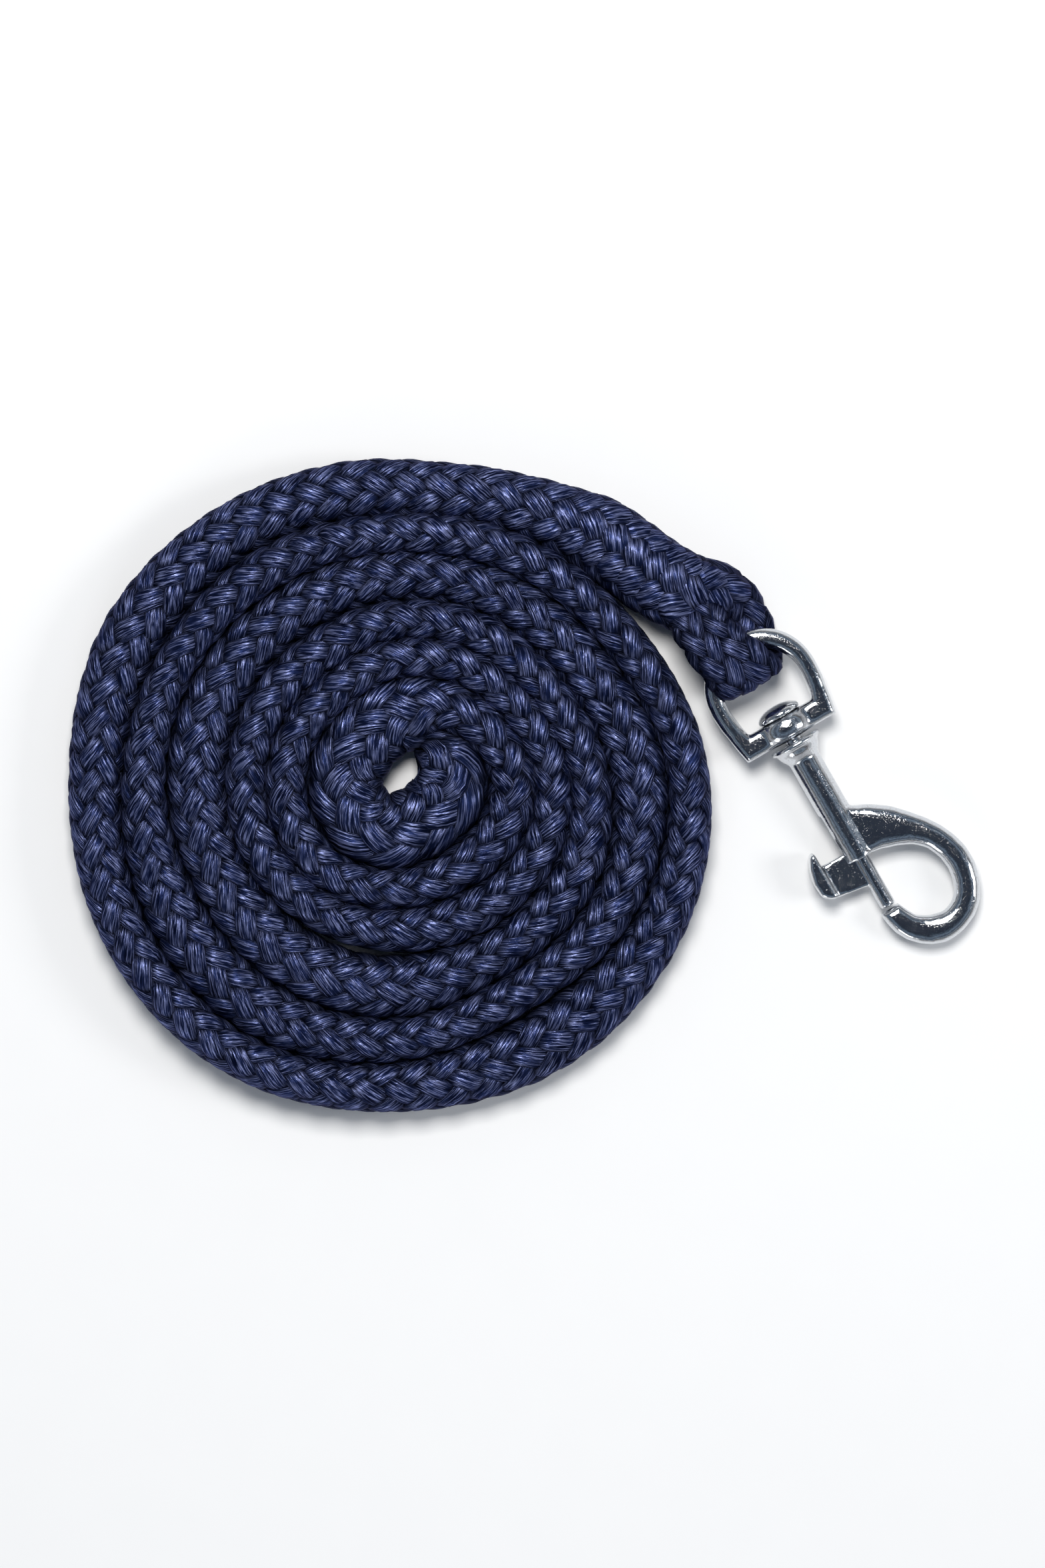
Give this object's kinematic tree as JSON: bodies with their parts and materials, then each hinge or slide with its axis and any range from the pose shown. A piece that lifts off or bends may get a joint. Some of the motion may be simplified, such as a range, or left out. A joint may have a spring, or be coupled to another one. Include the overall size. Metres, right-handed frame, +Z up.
{
  "type": "lead rope",
  "caption": "Braided navy lead rope wound in a flat coil, spliced round the swivel eye of a nickel-plated bolt snap.",
  "frame": {"origin": "on the surface that the rope lies on, under the middle of the snap's bounding box", "axes": "+X along the snap from its swivel eye to its hook, +Y to the hook's side of the barrel, +Z up from the surface"},
  "size_m": [0.2224, 0.2356, 0.0206],
  "materials": {
    "nickel_plate": "polished nickel plate over a slightly pitted casting",
    "spring_steel": "drawn wire",
    "navy_rope": "shiny untwisted multifilament, sixteen flat strands braided over two and under two"
  },
  "bodies": {
    "rope": {"rope_coil": "navy_rope", "rope_lead": "navy_rope", "rope_splice": "navy_rope", "rope_eye": "navy_rope"},
    "eye": {"swivel_eye": "nickel_plate"},
    "snap": {"hook_body": "nickel_plate", "swivel_rivet": "nickel_plate", "bolt_spring": "spring_steel"},
    "bolt": {"bolt": "nickel_plate"}
  },
  "joints": [
    {"name": "eye_swing", "type": "hinge", "parent": "rope", "child": "eye", "pos_m": [-0.0528, -0.00575, 0.01031], "axis": [0, -1, 0], "range_deg": [0, 100]},
    {"name": "swivel", "type": "hinge", "parent": "eye", "child": "snap", "pos_m": [-0.01846, -0.00575, 0.00821], "axis": [0.9981, 0, -0.0612], "continuous": true},
    {"name": "bolt_slide", "type": "slide", "parent": "snap", "child": "bolt", "axis": [-0.9981, 0, 0.0612], "range_m": [0, 0.0125], "stiffness_N_per_m": 600, "springref_m": -0.008, "deforming": ["bolt_spring"]}
  ]
}
